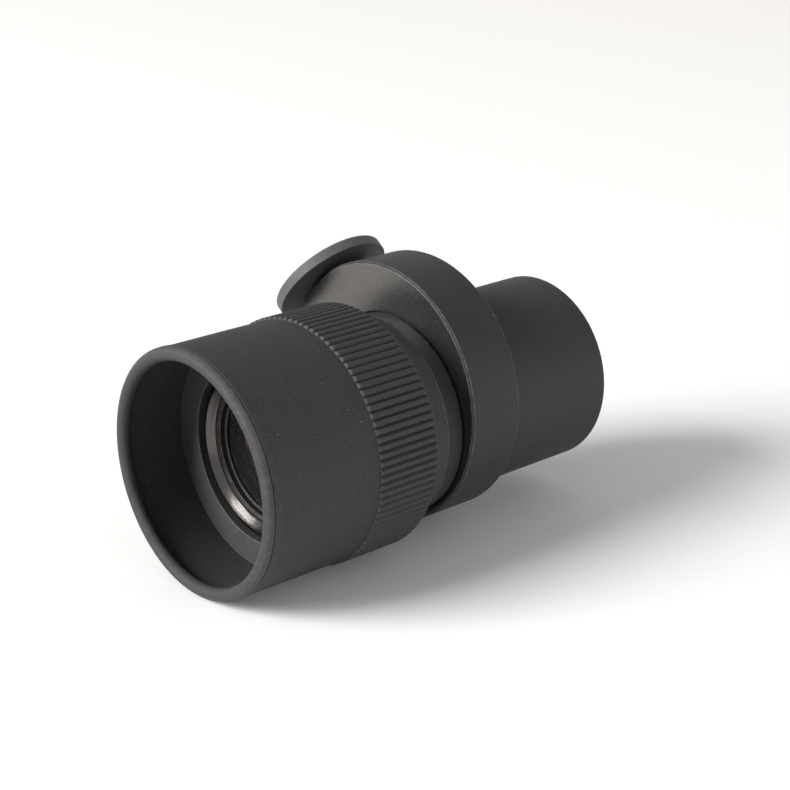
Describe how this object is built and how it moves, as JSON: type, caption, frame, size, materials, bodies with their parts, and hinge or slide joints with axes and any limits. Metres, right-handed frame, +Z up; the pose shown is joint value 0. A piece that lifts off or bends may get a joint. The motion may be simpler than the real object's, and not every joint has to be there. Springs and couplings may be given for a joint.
{
  "type": "telescope eyepiece",
  "caption": "Cordless lit-reticle telescope eyepiece: rubber eyecup, ribbed focusing grip, off-centre drum housing with a thin brightness dial, and a slide-in barrel.",
  "frame": {"origin": "on the optical axis, at the shoulder where the barrel meets the drum housing", "axes": "+X along the optical axis from the eye to the barrel's open end; +Z up, with the eyepiece lying on its side and the brightness dial up and towards +Y"},
  "size_m": [0.076, 0.0477, 0.0455],
  "materials": {
    "eyecup_rubber": "matte moulded rubber",
    "grip_rubber": "matte moulded rubber",
    "black_anodised": "satin black anodised",
    "barrel_anodised": "matte black anodised",
    "drum_anodised": "fine-grained anodised",
    "dial_anodised": "satin anodised",
    "turned_metal": "bare, finely turned",
    "blackened_metal": "flat optical black",
    "brass": "turned",
    "steel": "bright",
    "coated_glass": "polished, multi-coated",
    "clear_glass": "polished",
    "led_plastic": "tinted clear resin",
    "circuit_board": "glass-epoxy board",
    "nylon": "moulded nylon"
  },
  "bodies": {
    "housing": {"drum_housing": "drum_anodised", "helicoid_sleeve": "turned_metal", "guide_screw": "steel", "barrel_tube": "barrel_anodised", "field_stop": "blackened_metal", "reticle_cell": "blackened_metal", "reticle_glass": "clear_glass", "reticle_retainer": "blackened_metal", "led": "led_plastic", "led_board": "circuit_board", "battery_cup": "nylon", "battery": "steel", "battery_contact": "brass", "dimmer_board": "circuit_board", "pocket_bushing": "brass"},
    "optics": {"lens_cell": "turned_metal", "eye_lens_retainer": "blackened_metal", "eye_lens_flint": "coated_glass", "eye_lens_crown": "clear_glass", "lens_spacer": "blackened_metal", "field_lens_crown": "clear_glass", "field_lens_flint": "clear_glass"},
    "focuser": {"focus_ring": "black_anodised", "cell_retaining_ring": "brass", "stop_screw": "steel", "rubber_grip": "grip_rubber", "eyecup": "eyecup_rubber"},
    "dial": {"dial_disc": "dial_anodised", "dial_shaft": "steel", "dial_screw": "steel", "dial_washer": "nylon", "dial_wiper": "brass"}
  },
  "joints": [
    {"name": "focus_travel", "type": "slide", "parent": "housing", "child": "optics", "axis": [-1, 0, 0], "range_m": [0, 0.00375]},
    {"name": "focus_turn", "type": "hinge", "parent": "optics", "child": "focuser", "pos_m": [-0.029, 0, 0], "axis": [-1, 0, 0], "range_deg": [0, 270]},
    {"name": "dial_turn", "type": "hinge", "parent": "housing", "child": "dial", "pos_m": [-0.00525, 0.02038, 0.0171], "axis": [0, -0.766, -0.6428], "range_deg": [0, 270]}
  ],
  "couplings": [
    {"joint": "focus_travel", "follows": "focus_turn", "m_per_rad": 0.00079577}
  ]
}
